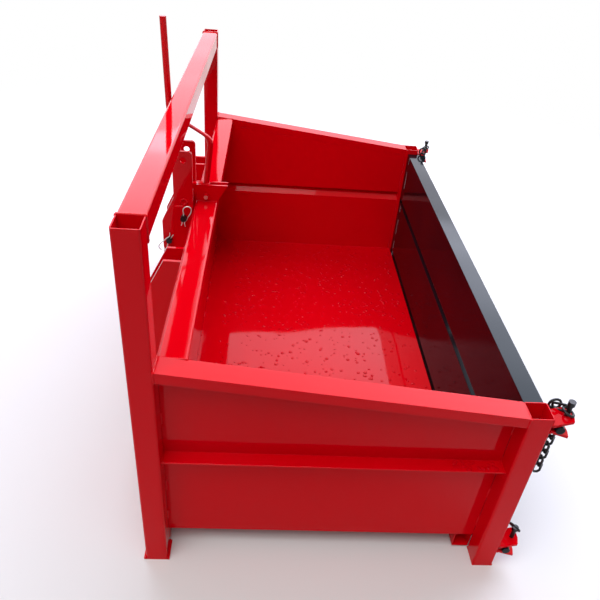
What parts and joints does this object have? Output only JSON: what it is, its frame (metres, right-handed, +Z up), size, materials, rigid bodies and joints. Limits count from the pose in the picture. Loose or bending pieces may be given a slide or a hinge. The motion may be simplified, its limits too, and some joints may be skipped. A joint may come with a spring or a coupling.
{
  "type": "tipping transport box for a tractor three-point linkage",
  "caption": "Open sheet-steel box with sloping sides, tailgate, tall head frame, tipping headstock and long latch lever, carried on a tractor's three-point linkage.",
  "frame": {"origin": "on the ground under the middle of the whole machine's bounding box", "axes": "+X back towards the tailgate, +Y towards the machine's right, +Z up; the tractor is at -X"},
  "size_m": [1.174, 1.808, 1.275],
  "materials": {
    "red_enamel": "gloss enamel",
    "black_enamel": "gloss enamel",
    "zinc_plate": "zinc plated",
    "black_chain": "black oxide"
  },
  "bodies": {
    "box": {"upright_left": "red_enamel", "upright_right": "red_enamel", "foot_plates": "red_enamel", "head_tube": "red_enamel", "rear_post_left": "red_enamel", "rear_post_right": "red_enamel", "post_caps": "red_enamel", "side_rail_left": "red_enamel", "side_rail_right": "red_enamel", "side_panel_left": "red_enamel", "side_panel_right": "red_enamel", "front_wall": "red_enamel", "front_rail": "red_enamel", "floor": "red_enamel", "front_sill": "red_enamel", "rear_sill": "red_enamel", "floor_bearers": "red_enamel", "link_bracket_left": "red_enamel", "link_bracket_right": "red_enamel", "tipping_tube": "red_enamel", "latch_cheeks": "red_enamel", "latch_pivot": "zinc_plate", "tailgate_skin": "black_enamel", "tailgate_ends": "black_enamel", "gate_stubs_left": "black_enamel", "gate_stubs_right": "black_enamel", "gate_brackets_left": "red_enamel", "gate_brackets_right": "red_enamel", "lock_pins_left": "black_chain", "lock_pins_right": "black_chain", "chain_left": "black_chain", "chain_right": "black_chain"},
    "headstock": {"mast_plate_left": "red_enamel", "mast_plate_right": "red_enamel", "mast_sleeve": "red_enamel", "mast_web": "red_enamel", "mast_doublers": "red_enamel", "catch_pin": "red_enamel", "upper_stow_pin": "black_chain", "lower_stow_pin": "black_chain"},
    "latch_lever": {"latch_hook": "red_enamel", "lever_rod": "red_enamel"}
  },
  "joints": [
    {"name": "tip", "type": "hinge", "parent": "box", "child": "headstock", "pos_m": [-0.552, 0, 0.115], "axis": [0, -1, 0], "range_deg": [0, 60]},
    {"name": "latch", "type": "hinge", "parent": "box", "child": "latch_lever", "pos_m": [-0.385, 0, 0.72], "axis": [0, -1, 0], "range_deg": [0, 16]}
  ]
}
